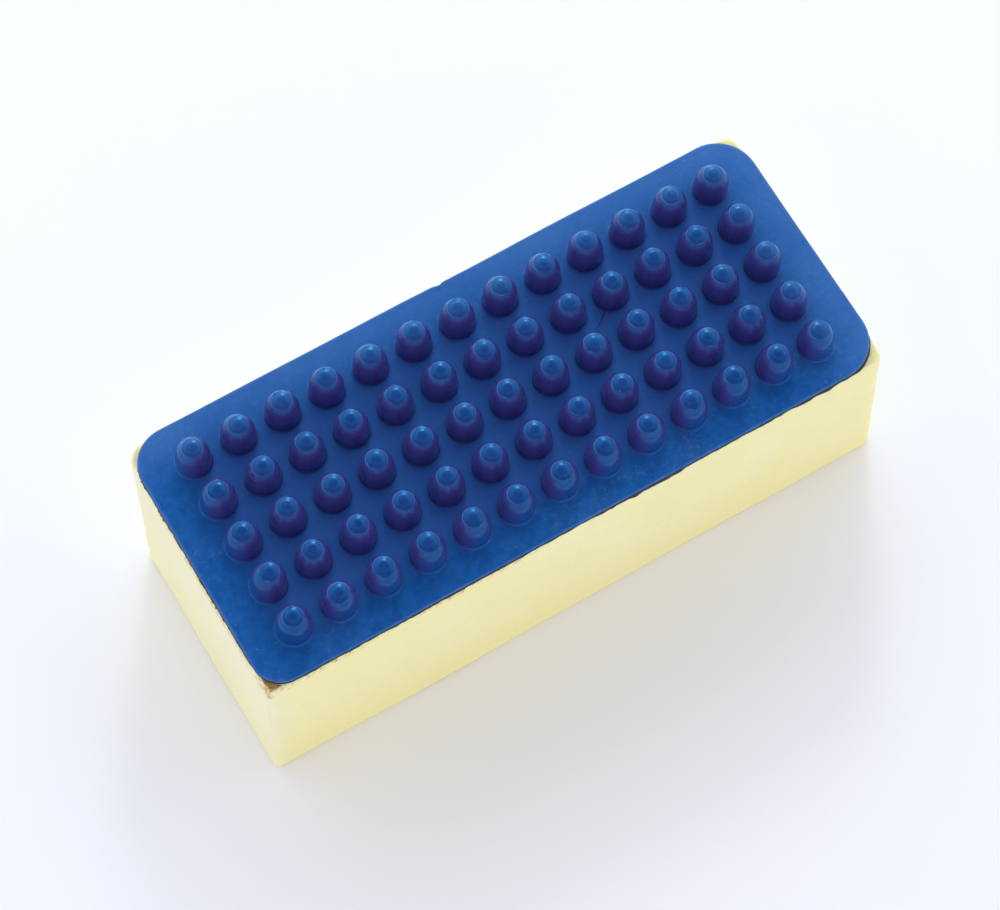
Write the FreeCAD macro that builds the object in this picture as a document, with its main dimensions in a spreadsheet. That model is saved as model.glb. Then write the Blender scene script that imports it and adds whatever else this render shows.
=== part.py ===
import FreeCAD, Part
import math
import os
import Sketcher

# Block eraser for chalkboards: a hand-size block of foam, faced with one moulded rubber sheet whose nubs
# stand up in a square grid, and held to it by a film of contact adhesive.
#
# Frame: millimetres, +Z up, +X along the length, +Y across the width. The origin is on the foam's flat
# bottom face, under the middle of the whole object's box.

SIZES = {
    # rubber facing: a thin sheet with round corners
    "facing_length": 142.0,
    "facing_width": 58.6,
    "facing_corner_radius": 8.2,
    "sheet_thickness": 1.0,
    # nubs, moulded in one piece with the sheet; their grid sits a little off the middle of the cut sheet
    "nub_columns": 13,
    "nub_rows": 5,
    "nub_pitch": 10.0,
    "nub_grid_shift_x": -0.3,
    "nub_grid_shift_y": -0.2,
    "nub_foot_radius": 3.85,
    "nub_root_fillet": 0.25,
    "nub_wall_curve_radius": 13.0,
    "nub_shoulder_radius": 2.14,
    "nub_shoulder_height": 6.9,
    "nub_height": 7.6,
    # adhesive film, drawn back a little from the facing's edge
    "film_thickness": 0.3,
    "film_inset": 0.4,
    # foam block: the cut ran out of square, so the foot is longer and narrower than the top,
    # and the top sits to one side of the middle
    "foam_height": 47.2,
    "foam_foot_length": 146.0,
    "foam_foot_width": 56.6,
    "foam_foot_shift_y": -1.4,
    "top_shift_x": -1.8,
    "top_shift_y": 0.4,
}

PARTS_FOLDER = "parts"
# how far the volume added by the grid may be from a whole number of nubs
COUNT_TOLERANCE = 0.01

doc = FreeCAD.newDocument("block_eraser")


def make_sheet(sizes):
    """Driving dimensions, one named cell each."""
    sheet = doc.addObject("Spreadsheet::Sheet", "Dimensions")
    for row, (name, value) in enumerate(sizes.items(), start=1):
        sheet.set(f"A{row}", name)
        sheet.set(f"B{row}", str(value))
        sheet.setAlias(f"B{row}", name)
    doc.recompute()
    return sheet


def make_body(name, places):
    """An empty body, placed by expressions for the axes named."""
    body = doc.addObject("PartDesign::Body", name)
    body.Label = name
    for axis, expression in places.items():
        body.setExpression(f"Placement.Base.{axis}", expression)
    return body


def make_sketch(body, name, plane_role):
    """A sketch on one of the body's own origin planes."""
    plane = next(f for f in body.Origin.OriginFeatures if f.Role == plane_role)
    sketch = body.newObject("Sketcher::SketchObject", name)
    sketch.AttachmentSupport = [(plane, "")]
    sketch.MapMode = "FlatFace"
    return sketch


def constrain(sketch, kind, *references):
    """Add a constraint and return its number."""
    return sketch.addConstraint(Sketcher.Constraint(kind, *references))


def drive(sketch, expression, kind, *references):
    """Add a dimension whose value the sheet gives."""
    number = constrain(sketch, kind, *references)
    sketch.setExpression(f"Constraints[{number}]", expression)


def draw_rectangle(sketch, length, width, length_expression, width_expression):
    """A rectangle centred on the sketch's origin."""
    corners = [(-length / 2, -width / 2), (length / 2, -width / 2),
               (length / 2, width / 2), (-length / 2, width / 2)]
    for side, (x, y) in enumerate(corners):
        next_x, next_y = corners[(side + 1) % 4]
        sketch.addGeometry(Part.LineSegment(FreeCAD.Vector(x, y), FreeCAD.Vector(next_x, next_y)))
    for side in range(4):
        constrain(sketch, "Coincident", side, 2, (side + 1) % 4, 1)
        constrain(sketch, "Vertical" if side % 2 else "Horizontal", side)
    constrain(sketch, "Symmetric", 0, 1, 2, 1, -1, 1)
    drive(sketch, length_expression, "DistanceX", 0, 1, 0, 2, length)
    drive(sketch, width_expression, "DistanceY", 1, 1, 1, 2, width)


def draw_rounded_rectangle(sketch, length, width, radius, expressions):
    """A rectangle with round corners, centred on the sketch's origin: four sides, then four corners."""
    inner_x = length / 2 - radius
    inner_y = width / 2 - radius
    quarter = math.pi / 2
    sides = [((-inner_x, -width / 2), (inner_x, -width / 2)), ((length / 2, -inner_y), (length / 2, inner_y)),
             ((inner_x, width / 2), (-inner_x, width / 2)), ((-length / 2, inner_y), (-length / 2, -inner_y))]
    for start, end in sides:
        sketch.addGeometry(Part.LineSegment(FreeCAD.Vector(*start), FreeCAD.Vector(*end)))
    centres = [(inner_x, -inner_y), (inner_x, inner_y), (-inner_x, inner_y), (-inner_x, -inner_y)]
    for corner, centre in enumerate(centres):
        circle = Part.Circle(FreeCAD.Vector(*centre), FreeCAD.Vector(0, 0, 1), radius)
        first_angle = (corner - 1) * quarter
        sketch.addGeometry(Part.ArcOfCircle(circle, first_angle, first_angle + quarter))
    for side in range(4):
        corner = 4 + side
        constrain(sketch, "Tangent", side, 2, corner, 1)
        constrain(sketch, "Tangent", corner, 2, (side + 1) % 4, 1)
        constrain(sketch, "Vertical" if side % 2 else "Horizontal", side)
    for corner in range(5, 8):
        constrain(sketch, "Equal", 4, corner)
    constrain(sketch, "Symmetric", 4, 3, 6, 3, -1, 1)
    length_expression, width_expression, radius_expression = expressions
    drive(sketch, length_expression, "DistanceX", 3, 1, 1, 1, length)
    drive(sketch, width_expression, "DistanceY", 0, 1, 2, 1, width)
    drive(sketch, radius_expression, "Radius", 4, radius)


def add_pad(body, name, sketch, length_expression):
    """Extrude a sketch upwards."""
    feature = body.newObject("PartDesign::Pad", name)
    feature.Profile = sketch
    feature.setExpression("Length", length_expression)
    return feature


def arc_about(centre, first, last):
    """The anticlockwise arc about a centre from one point to another."""
    spoke_one = first - centre
    spoke_two = last - centre
    circle = Part.Circle(centre, FreeCAD.Vector(0, 0, 1), spoke_one.Length)
    start_angle = math.atan2(spoke_one.y, spoke_one.x)
    end_angle = math.atan2(spoke_two.y, spoke_two.x)
    return Part.ArcOfCircle(circle, start_angle, end_angle)


def draw_nub_section(sketch, sheet):
    """Half section of one nub: sketch X is the radius from the nub's axis, sketch Y the height.

    From the bottom: a plug through the sheet, a small hollow fillet at the root, a bulging wall that
    draws in to the shoulder, and a low domed crown.
    """
    floor = float(sheet.sheet_thickness)
    fillet = float(sheet.nub_root_fillet)
    wall_radius = float(sheet.nub_wall_curve_radius)
    core = FreeCAD.Vector(0, 0)
    toe = FreeCAD.Vector(sheet.nub_foot_radius + fillet, floor)
    plug = FreeCAD.Vector(toe.x, 0)
    foot = FreeCAD.Vector(sheet.nub_foot_radius, floor + fillet)
    shoulder = FreeCAD.Vector(sheet.nub_shoulder_radius, floor + sheet.nub_shoulder_height)
    crown = FreeCAD.Vector(0, floor + sheet.nub_height)

    chord = shoulder - foot
    across = FreeCAD.Vector(-chord.y, chord.x).normalize()
    wall_centre = foot + chord / 2 + across * math.sqrt(wall_radius ** 2 - (chord.Length / 2) ** 2)
    rise = crown.y - shoulder.y
    crown_radius = (shoulder.x ** 2 + rise ** 2) / (2 * rise)
    crown_centre = FreeCAD.Vector(0, crown.y - crown_radius)

    sketch.addGeometry(Part.LineSegment(core, plug))
    sketch.addGeometry(Part.LineSegment(plug, toe))
    sketch.addGeometry(arc_about(FreeCAD.Vector(toe.x, foot.y), foot, toe))
    sketch.addGeometry(arc_about(wall_centre, foot, shoulder))
    sketch.addGeometry(arc_about(crown_centre, shoulder, crown))
    sketch.addGeometry(Part.LineSegment(crown, core))
    bottom, edge, root, wall, top, axis = range(6)

    joins = [(bottom, 2, edge, 1), (edge, 2, root, 2), (root, 1, wall, 1), (wall, 2, top, 1),
             (top, 2, axis, 1), (axis, 2, bottom, 1)]
    for join in joins:
        constrain(sketch, "Coincident", *join)
    constrain(sketch, "Coincident", bottom, 1, -1, 1)
    constrain(sketch, "Horizontal", bottom)
    constrain(sketch, "Vertical", edge)
    constrain(sketch, "Vertical", axis)
    constrain(sketch, "PointOnObject", top, 3, -2)
    constrain(sketch, "Vertical", root, 3, root, 2)
    constrain(sketch, "Horizontal", root, 3, root, 1)
    drive(sketch, "Dimensions.nub_root_fillet", "Radius", root, fillet)
    drive(sketch, "Dimensions.nub_wall_curve_radius", "Radius", wall, wall_radius)
    drive(sketch, "Dimensions.sheet_thickness", "DistanceY", edge, 1, edge, 2, floor)
    drive(sketch, "Dimensions.nub_foot_radius", "DistanceX", -1, 1, root, 1, foot.x)
    drive(sketch, "Dimensions.nub_shoulder_radius", "DistanceX", -1, 1, wall, 2, shoulder.x)
    drive(sketch, "Dimensions.sheet_thickness + Dimensions.nub_shoulder_height",
          "DistanceY", -1, 1, wall, 2, shoulder.y)
    drive(sketch, "Dimensions.sheet_thickness + Dimensions.nub_height",
          "DistanceY", -1, 1, top, 2, crown.y)


def make_foam_block(sheet):
    """A block of cut foam with flat faces, lofted from the foot to the top."""
    body = make_body("foam_block", {})
    foot = make_sketch(body, "FoamFoot", "XY_Plane")
    foot.setExpression("AttachmentOffset.Base.y", "Dimensions.foam_foot_shift_y")
    draw_rectangle(foot, float(sheet.foam_foot_length), float(sheet.foam_foot_width),
                   "Dimensions.foam_foot_length", "Dimensions.foam_foot_width")
    top = make_sketch(body, "FoamTop", "XY_Plane")
    top.setExpression("AttachmentOffset.Base.x", "Dimensions.top_shift_x")
    top.setExpression("AttachmentOffset.Base.y", "Dimensions.top_shift_y")
    top.setExpression("AttachmentOffset.Base.z", "Dimensions.foam_height")
    draw_rectangle(top, float(sheet.facing_length), float(sheet.facing_width),
                   "Dimensions.facing_length", "Dimensions.facing_width")
    doc.recompute()
    block = body.newObject("PartDesign::AdditiveLoft", "FoamBlock")
    block.Profile = foot
    block.Sections = [top]
    block.Ruled = True
    return body


def make_adhesive_film(sheet):
    """The set contact adhesive between foam and facing."""
    body = make_body("adhesive_film", {
        "x": "Dimensions.top_shift_x",
        "y": "Dimensions.top_shift_y",
        "z": "Dimensions.foam_height",
    })
    inset = float(sheet.film_inset)
    outline = make_sketch(body, "FilmOutline", "XY_Plane")
    draw_rounded_rectangle(
        outline, sheet.facing_length - 2 * inset, sheet.facing_width - 2 * inset,
        sheet.facing_corner_radius - inset,
        ("Dimensions.facing_length - 2 * Dimensions.film_inset",
         "Dimensions.facing_width - 2 * Dimensions.film_inset",
         "Dimensions.facing_corner_radius - Dimensions.film_inset"))
    add_pad(body, "Film", outline, "Dimensions.film_thickness")
    return body


def make_rubber_facing(sheet):
    """The moulded sheet with its grid of nubs, one solid."""
    body = make_body("rubber_facing", {
        "x": "Dimensions.top_shift_x",
        "y": "Dimensions.top_shift_y",
        "z": "Dimensions.foam_height + Dimensions.film_thickness",
    })
    outline = make_sketch(body, "FacingOutline", "XY_Plane")
    draw_rounded_rectangle(
        outline, float(sheet.facing_length), float(sheet.facing_width), float(sheet.facing_corner_radius),
        ("Dimensions.facing_length", "Dimensions.facing_width", "Dimensions.facing_corner_radius"))
    plate = add_pad(body, "Sheet", outline, "Dimensions.sheet_thickness")
    doc.recompute()

    # the first nub stands at the corner of the grid with the lowest X and Y
    section = make_sketch(body, "NubSection", "XZ_Plane")
    section.setExpression(
        "AttachmentOffset.Base.x",
        "Dimensions.nub_grid_shift_x - Dimensions.nub_pitch * (Dimensions.nub_columns - 1) / 2")
    section.setExpression(
        "AttachmentOffset.Base.z",
        "-Dimensions.nub_grid_shift_y + Dimensions.nub_pitch * (Dimensions.nub_rows - 1) / 2")
    draw_nub_section(section, sheet)
    nub = body.newObject("PartDesign::Revolution", "Nub")
    nub.Profile = section
    nub.ReferenceAxis = (section, ["V_Axis"])
    nub.Angle = 360
    doc.recompute()

    grid = body.newObject("PartDesign::LinearPattern", "NubGrid")
    grid.Originals = [nub]
    grid.Direction = (outline, ["H_Axis"])
    grid.Mode = "Extent"
    grid.setExpression("Length", "Dimensions.nub_pitch * (Dimensions.nub_columns - 1)")
    grid.setExpression("Occurrences", "Dimensions.nub_columns")
    grid.Direction2 = (outline, ["V_Axis"])
    grid.Mode2 = "Extent"
    grid.setExpression("Length2", "Dimensions.nub_pitch * (Dimensions.nub_rows - 1)")
    grid.setExpression("Occurrences2", "Dimensions.nub_rows")
    body.Tip = grid
    doc.recompute()

    one_nub = nub.Shape.Volume - plate.Shape.Volume
    nubs_made = (grid.Shape.Volume - plate.Shape.Volume) / one_nub
    print(f"{nubs_made:.3f} nubs of {one_nub:.1f} cubic mm each")
    if abs(nubs_made - int(sheet.nub_columns) * int(sheet.nub_rows)) > COUNT_TOLERANCE:
        raise RuntimeError("the nub grid is incomplete")
    return body


def check_document():
    """Stop if any object of the document failed to build."""
    for item in doc.Objects:
        if "Invalid" in item.State or "Error" in item.State:
            raise RuntimeError(f"{item.Name} failed: {item.State}")


def export(body):
    """Write one sub-part to a file named after it, after testing its shape."""
    shape = body.Shape
    if shape.isNull() or not shape.isValid() or len(shape.Solids) != 1:
        raise RuntimeError(f"{body.Label} is not one valid solid")
    box = shape.BoundBox
    print(f"{body.Label}: {shape.Volume / 1000:.2f} cubic cm, "
          f"X {box.XMin:.2f} to {box.XMax:.2f}, Y {box.YMin:.2f} to {box.YMax:.2f}, "
          f"Z {box.ZMin:.2f} to {box.ZMax:.2f}")
    shape.exportStep(os.path.join(PARTS_FOLDER, f"{body.Label}.step"))


dimensions = make_sheet(SIZES)
bodies = [make_foam_block(dimensions), make_adhesive_film(dimensions), make_rubber_facing(dimensions)]
doc.recompute()
check_document()
os.makedirs(PARTS_FOLDER, exist_ok=True)
for finished_body in bodies:
    export(finished_body)
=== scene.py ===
import math
import random

import bpy
from mathutils import Matrix, Vector, noise


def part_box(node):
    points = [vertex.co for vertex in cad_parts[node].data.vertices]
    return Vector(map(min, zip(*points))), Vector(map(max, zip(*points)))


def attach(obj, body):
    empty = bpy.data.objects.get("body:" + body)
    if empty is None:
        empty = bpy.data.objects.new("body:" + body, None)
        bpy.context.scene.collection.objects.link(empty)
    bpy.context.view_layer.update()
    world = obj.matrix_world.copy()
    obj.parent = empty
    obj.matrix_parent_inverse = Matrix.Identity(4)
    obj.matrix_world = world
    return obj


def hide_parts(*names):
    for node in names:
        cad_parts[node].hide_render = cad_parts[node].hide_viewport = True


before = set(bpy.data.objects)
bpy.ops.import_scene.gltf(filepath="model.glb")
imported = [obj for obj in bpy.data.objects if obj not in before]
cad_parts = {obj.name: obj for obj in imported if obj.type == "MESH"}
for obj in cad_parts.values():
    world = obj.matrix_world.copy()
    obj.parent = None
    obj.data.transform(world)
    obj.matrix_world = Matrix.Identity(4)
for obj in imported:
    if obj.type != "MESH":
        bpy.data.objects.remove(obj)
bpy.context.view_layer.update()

# Looks of a chalkboard eraser: a foam block faced with a nubbed rubber sheet, glued on.
# Lengths are in metres. MM turns a length in millimetres into metres.
MM = 0.001

FACING_LOW, FACING_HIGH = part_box("rubber_facing")
FILM_LOW, FILM_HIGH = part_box("adhesive_film")
FOAM_LOW, FOAM_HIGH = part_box("foam_block")
FACING_X = (FACING_LOW[0] + FACING_HIGH[0]) / 2
FACING_Y = (FACING_LOW[1] + FACING_HIGH[1]) / 2
FACING_LENGTH = FACING_HIGH[0] - FACING_LOW[0]
FACING_WIDTH = FACING_HIGH[1] - FACING_LOW[1]

# nubs
NUB_COLUMNS = 13
NUB_ROWS = 5
NUB_PITCH = 10.0 * MM
NUB_HEIGHT = 7.6 * MM
FOOT_RADIUS = 3.70 * MM
ROOT_FILLET = 0.34 * MM
RING_RADIUS = 2.14 * MM
RING_HEIGHT = 7.04 * MM
SHOULDER = 0.10 * MM  # how far below and outside the ring the wall ends
PIP_ROOM = 0.10 * MM  # how far the crown's dome stays below the nub's full height
GRID_X = FACING_X - 0.3 * MM
GRID_Y = FACING_Y - 0.2 * MM
LAST_COLUMN_X = (NUB_COLUMNS - 1) / 2 * NUB_PITCH
LAST_ROW_Y = (NUB_ROWS - 1) / 2 * NUB_PITCH

# sheet of the facing
SHEET_TOP = FACING_HIGH[2] - NUB_HEIGHT
SHEET_THICKNESS = SHEET_TOP - FACING_LOW[2]
ROUND_EDGE = 0.18 * MM
CORNER_RADIUS = 8.2 * MM
# The sheet was cut by hand, so its corners differ a little. Keys are the signs of x and y.
SHEET_CORNERS = {(-1, -1): CORNER_RADIUS - 2.2 * MM, (1, -1): CORNER_RADIUS + 0.8 * MM,
                 (-1, 1): CORNER_RADIUS - 0.4 * MM, (1, 1): CORNER_RADIUS + 0.4 * MM}

# Mesh of the facing: loops of AROUND vertices round each nub, inside a grid of square cells.
# TURN is the stretch of the grid's border, each side of its corner, that answers to a round corner.
AROUND = 48
CELL_STEPS = AROUND // 4
ROOT_STEPS = 3
WALL_STEPS = 11
TURN = 5.0 * MM
NUB_ANGLES = [math.tau * (k - CELL_STEPS / 2) / AROUND for k in range(AROUND)]

# foam block
FOAM_FOOT_WIDTH = 56.6 * MM
FOAM_EDGE_RADIUS = 0.9 * MM
FOAM_CORNERS = {(-1, -1): 1.6 * MM, (1, -1): 2.6 * MM, (-1, 1): 3.6 * MM, (1, 1): 3.0 * MM}
FOAM_EDGE_STEPS = 7
FOAM_FINE_STEP = 0.45 * MM
FOAM_COARSE_STEP = 1.0 * MM

# Light and camera. The tent sends WALL_LIGHT from all sides, LOW_WALL_LIGHT more from near the floor and
# BACK_LIGHT more from behind. Its dark opening overhead leans to the front by OPENING_LEAN.
LAMP_AZIMUTH = 31
LAMP_ELEVATION = 38
BACK_AZIMUTH = 25
WALL_LIGHT = 1.24
LOW_WALL_LIGHT = 0.72
BACK_LIGHT = 1.7
OPENING_STARTS = math.sin(math.radians(54))
OPENING_IS_FULL = math.sin(math.radians(65))
OPENING_LIGHT = 0.03
OPENING_LEAN = 0.22
FRONT_TINT = (1.005, 0.995, 1.09)
BACK_TINT = (0.70, 0.96, 1.10)
CAMERA_AZIMUTH = 35.36
CAMERA_ELEVATION = 67.92
CAMERA_ROLL = 4.99
CAMERA_DISTANCE = 672.0 * MM
CAMERA_TARGET = Vector((-9.15 * MM, -8.63 * MM, 48.5 * MM))
CAMERA_LENS = 122.4


def smooth_noise(x, y, z, size, seed):
    """Soft noise from -1 to 1 whose features are about size metres across."""
    return noise.noise(Vector((x / size + seed, y / size - seed, z / size + 2 * seed)))


def bell(distance, width):
    """1 at no distance, and falling off to nothing over about twice the width."""
    return math.exp(-(distance / width) ** 2)


def new_piece(name, vertices, faces, material, marks=None):
    """A smooth-shaded mesh object on the body. marks gives lists of one number a vertex, by name."""
    mesh = bpy.data.meshes.new(name)
    mesh.from_pydata(vertices, [], faces)
    mesh.update()
    for mark, values in (marks or {}).items():
        mesh.attributes.new(mark, "FLOAT", "POINT").data.foreach_set("value", values)
    mesh.polygons.foreach_set("use_smooth", [True] * len(mesh.polygons))
    mesh.materials.append(material)
    piece = bpy.data.objects.new(name, mesh)
    bpy.context.scene.collection.objects.link(piece)
    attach(piece, "root")
    return piece


# ---------------------------------------------------------------- materials

# Colours are linear red, green and blue. A pair is the two ends of a material's own mottling.
SHEET_BLUES = ((0.0095, 0.076, 0.290), (0.0125, 0.096, 0.350))
NUB_BLUES = ((0.0065, 0.044, 0.178), (0.0078, 0.051, 0.205))
# painted light: the sheet among the nubs is made paler to lift the shade the nubs cast there
PAINTED_LIGHT_AMONG_NUBS_BLUE = (0.042, 0.132, 0.490)
# pale bloom; on the far and right margins it is also a painted reflection of the light from behind
BLOOM_AND_REFLECTION_BLUE = (0.068, 0.165, 0.425)
CHALKY_BLUE = (0.075, 0.180, 0.420)
# painted shade on walls and sheet between the nubs
SHADE_VIOLET = (0.042, 0.027, 0.170)
# painted highlights on the sheet's top edge and the nubs' rings, with some wear
HIGHLIGHT_AND_WEAR_SHEET_BLUE = (0.120, 0.190, 0.400)
HIGHLIGHT_AND_WEAR_NUB_BLUE = (0.060, 0.270, 0.600)
# darker painted shade on the sheet's cut side and on the nubs' roots and shoulders
DEEP_SHADE_BLACK = (0.006, 0.018, 0.028)
DUST_GREY = (0.30, 0.42, 0.55)
RUBBER_GLOSS_TINT = (0.03, 0.52, 1.0)

GLUE_BROWN = (0.009, 0.012, 0.011)
GLUE_OCHRE = (0.140, 0.080, 0.022)
SMEAR_OCHRE = (0.520, 0.330, 0.070)
SMEAR_BROWN = (0.230, 0.130, 0.035)

FOAM_CREAMS = ((0.768, 0.722, 0.355), (0.782, 0.746, 0.410))
# painted shade and yellow bounce light toward the foam's foot
FOAM_FOOT_PAINTED_SHADE = (0.768, 0.702, 0.300)
# painted light: the foam's left end is paler
FOAM_PAINTED_LIGHT = (0.722, 0.694, 0.480)
FOAM_PORE = (0.640, 0.590, 0.330)
FOAM_STAIN = (0.500, 0.330, 0.085)

FLOOR_WHITES = ((0.890, 0.890, 0.915), (0.902, 0.902, 0.925))


class Nodes:
    """A short way to write the node tree of a material or a world."""

    def __init__(self, owner, shader="Principled BSDF", coordinates="Object"):
        owner.use_nodes = True
        self.owner = owner
        self.tree = owner.node_tree
        self.shader = self.tree.nodes[shader]
        self.place = self.add("ShaderNodeTexCoord").outputs[coordinates]

    def add(self, kind, **values):
        node = self.tree.nodes.new(kind)
        for key, value in values.items():
            setattr(node, key, value)
        return node

    def link(self, output, target):
        self.tree.links.new(output, target)

    def noise(self, scale, detail=3.0, roughness=0.5, stretch=None):
        """Noise texture. stretch multiplies the coordinates along each axis."""
        node = self.add("ShaderNodeTexNoise")
        node.inputs["Scale"].default_value = scale
        node.inputs["Detail"].default_value = detail
        node.inputs["Roughness"].default_value = roughness
        if stretch is None:
            self.link(self.place, node.inputs["Vector"])
        else:
            mapping = self.add("ShaderNodeMapping")
            mapping.inputs["Scale"].default_value = stretch
            self.link(self.place, mapping.inputs["Vector"])
            self.link(mapping.outputs["Vector"], node.inputs["Vector"])
        return node.outputs["Fac"]

    def cells(self, scale):
        """Distance from the middle of each cell of a Voronoi texture."""
        node = self.add("ShaderNodeTexVoronoi")
        node.inputs["Scale"].default_value = scale
        self.link(self.place, node.inputs["Vector"])
        return node.outputs["Distance"]

    def band(self, value, low, high, at_low=0.0, at_high=1.0, interpolation="LINEAR"):
        """Map low..high to at_low..at_high, held at the ends."""
        node = self.add("ShaderNodeMapRange", interpolation_type=interpolation)
        limits = {"From Min": low, "From Max": high, "To Min": at_low, "To Max": at_high}
        for name, number in limits.items():
            node.inputs[name].default_value = number
        self.link(value, node.inputs["Value"])
        return node.outputs["Result"]

    def maths(self, operation, *values):
        """One maths node. Each value is a number or a socket."""
        node = self.add("ShaderNodeMath", operation=operation)
        for socket, value in zip(node.inputs, values):
            if isinstance(value, (int, float)):
                socket.default_value = value
            else:
                self.link(value, socket)
        return node.outputs["Value"]

    def product(self, first, *others):
        for other in others:
            first = self.maths("MULTIPLY", first, other)
        return first

    def mix(self, factor, first, second):
        """Blend two colours; each is a socket or three numbers."""
        node = self.add("ShaderNodeMix", data_type="RGBA")
        self.link(factor, node.inputs["Factor"])
        for name, value in (("A", first), ("B", second)):
            socket = next(s for s in node.inputs if s.name == name and s.type == "RGBA")
            if isinstance(value, tuple):
                socket.default_value = (*value, 1.0)
            else:
                self.link(value, socket)
        return next(s for s in node.outputs if s.type == "RGBA")

    def axis(self, name):
        """One of the coordinates: metres in a material, part of a unit vector in a world."""
        node = self.add("ShaderNodeSeparateXYZ")
        self.link(self.place, node.inputs["Vector"])
        return node.outputs[name]

    def toward(self, direction):
        """How far the coordinates lie along a direction."""
        node = self.add("ShaderNodeVectorMath", operation="DOT_PRODUCT")
        node.inputs[1].default_value = direction
        self.link(self.place, node.inputs[0])
        return node.outputs["Value"]

    def mark(self, name):
        """A number that the mesh carries on each vertex."""
        return self.add("ShaderNodeAttribute", attribute_name=name).outputs["Fac"]

    def bump(self, height, strength, distance, under=None):
        """A bump normal. under is the normal that it is laid over."""
        node = self.add("ShaderNodeBump")
        node.inputs["Strength"].default_value = strength
        node.inputs["Distance"].default_value = distance
        self.link(height, node.inputs["Height"])
        if under is not None:
            self.link(under, node.inputs["Normal"])
        return node.outputs["Normal"]


def rubber_blue_and_painted_light(n, on_nub):
    """The rubber's colour: darker on the nubs than on the sheet, and painted palest on the sheet among
    them as painted light that lifts the shade the nubs cast there.
    """
    mottle = n.band(n.noise(520, detail=4, roughness=0.6), 0.40, 0.62)
    from_middle_x = n.maths("ABSOLUTE", n.maths("SUBTRACT", n.axis("X"), GRID_X))
    from_middle_y = n.maths("ABSOLUTE", n.maths("SUBTRACT", n.axis("Y"), GRID_Y))
    within_x = n.band(from_middle_x, LAST_COLUMN_X - 3 * MM, LAST_COLUMN_X + 3 * MM, 1.0, 0.0)
    within_y = n.band(from_middle_y, LAST_ROW_Y - 3 * MM, LAST_ROW_Y + 3 * MM, 1.0, 0.0)
    sheet = n.mix(mottle, *SHEET_BLUES)
    # painted light on the sheet among the nubs
    sheet = n.mix(n.product(within_x, within_y, 0.8), sheet, PAINTED_LIGHT_AMONG_NUBS_BLUE)
    return n.mix(on_nub, sheet, n.mix(mottle, *NUB_BLUES))


def with_bloom_and_painted_reflection(n, colour, on_nub, blotches, fine):
    """The colour under a painted reflection at the far and right margins, and under a pale bloom in
    patches and in chalky specks.
    """
    # painted reflection: the far and right margins are made paler where the light from behind reflects
    toward_far = n.band(n.axis("Y"), FACING_HIGH[1] - 12 * MM, FACING_HIGH[1] - 2 * MM)
    toward_right = n.band(n.axis("X"), FACING_HIGH[0] - 14 * MM, FACING_HIGH[0] - 2 * MM)
    margin = n.maths("MAXIMUM", toward_far, toward_right)
    painted_reflection = n.product(margin, n.band(blotches, 0.25, 0.65, 0.50, 1.0), 0.62)
    patches = n.product(n.band(blotches, 0.50, 0.75, 0.0, 0.20), n.band(on_nub, 0.0, 1.0, 1.0, 0.0))
    colour = n.mix(n.maths("MAXIMUM", painted_reflection, patches), colour, BLOOM_AND_REFLECTION_BLUE)
    speckle = n.band(fine, 0.54, 0.72, 0.0, 0.40)
    in_patches = n.band(blotches, 0.42, 0.60, 0.25, 1.0)
    less_on_nubs = n.band(on_nub, 0.0, 1.0, 1.0, 0.35)
    return n.mix(n.product(speckle, in_patches, less_on_nubs), colour, CHALKY_BLUE)


def painted_light_and_dust(n, colour, on_nub, painted_deep_shade):
    """The colour with painted shade on shut-in walls, painted highlights on ridges with some wear, darker
    painted shade, and a few specks of dust.
    """
    # painted shade, then painted highlights with some wear, then darker painted shade, then dust
    colour = n.mix(n.product(n.mark("painted_shade"), 0.85), colour, SHADE_VIOLET)
    lit_and_worn = n.mix(on_nub, HIGHLIGHT_AND_WEAR_SHEET_BLUE, HIGHLIGHT_AND_WEAR_NUB_BLUE)
    colour = n.mix(n.product(n.mark("highlight_and_wear"), 0.85), colour, lit_and_worn)
    colour = n.mix(painted_deep_shade, colour, DEEP_SHADE_BLACK)
    specks = n.band(n.cells(800), 0.0, 0.13, 1.0, 0.0)
    sparse = n.band(n.noise(240, detail=1), 0.50, 0.60)
    return n.mix(n.product(specks, sparse, 0.5), colour, DUST_GREY)


def blue_rubber():
    """Moulded blue rubber: glossy dark nubs on a duller sheet, with painted shade, painted highlights and
    a painted reflection on the far and right margins.
    """
    n = Nodes(bpy.data.materials.new("blue_rubber"))
    blotches = n.noise(90, detail=4, roughness=0.6)
    fine = n.noise(1100, detail=3, roughness=0.6)
    on_nub = n.band(n.axis("Z"), SHEET_TOP + 0.1 * MM, SHEET_TOP + 0.7 * MM)
    painted_deep_shade = n.mark("painted_deep_shade")
    colour = rubber_blue_and_painted_light(n, on_nub)
    colour = with_bloom_and_painted_reflection(n, colour, on_nub, blotches, fine)
    colour = painted_light_and_dust(n, colour, on_nub, painted_deep_shade)
    n.link(colour, n.shader.inputs["Base Color"])
    dullness = n.maths("ADD", n.band(on_nub, 0.0, 1.0, 0.36, 0.16), n.band(fine, 0.3, 0.7, 0.0, 0.06))
    dullness = n.maths("ADD", dullness, n.band(painted_deep_shade, 0.0, 0.3, 0.0, 0.35))
    n.link(dullness, n.shader.inputs["Roughness"])
    n.shader.inputs["Specular IOR Level"].default_value = 0.6
    n.shader.inputs["Specular Tint"].default_value = (*RUBBER_GLOSS_TINT, 1.0)
    scratches = n.noise(160, detail=5, roughness=0.75, stretch=(1.0, 9.0, 1.0))
    normal = n.bump(fine, 0.07, 0.12 * MM)
    normal = n.bump(scratches, 0.05, 0.20 * MM, under=normal)
    n.link(normal, n.shader.inputs["Normal"])
    return n.owner


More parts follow.
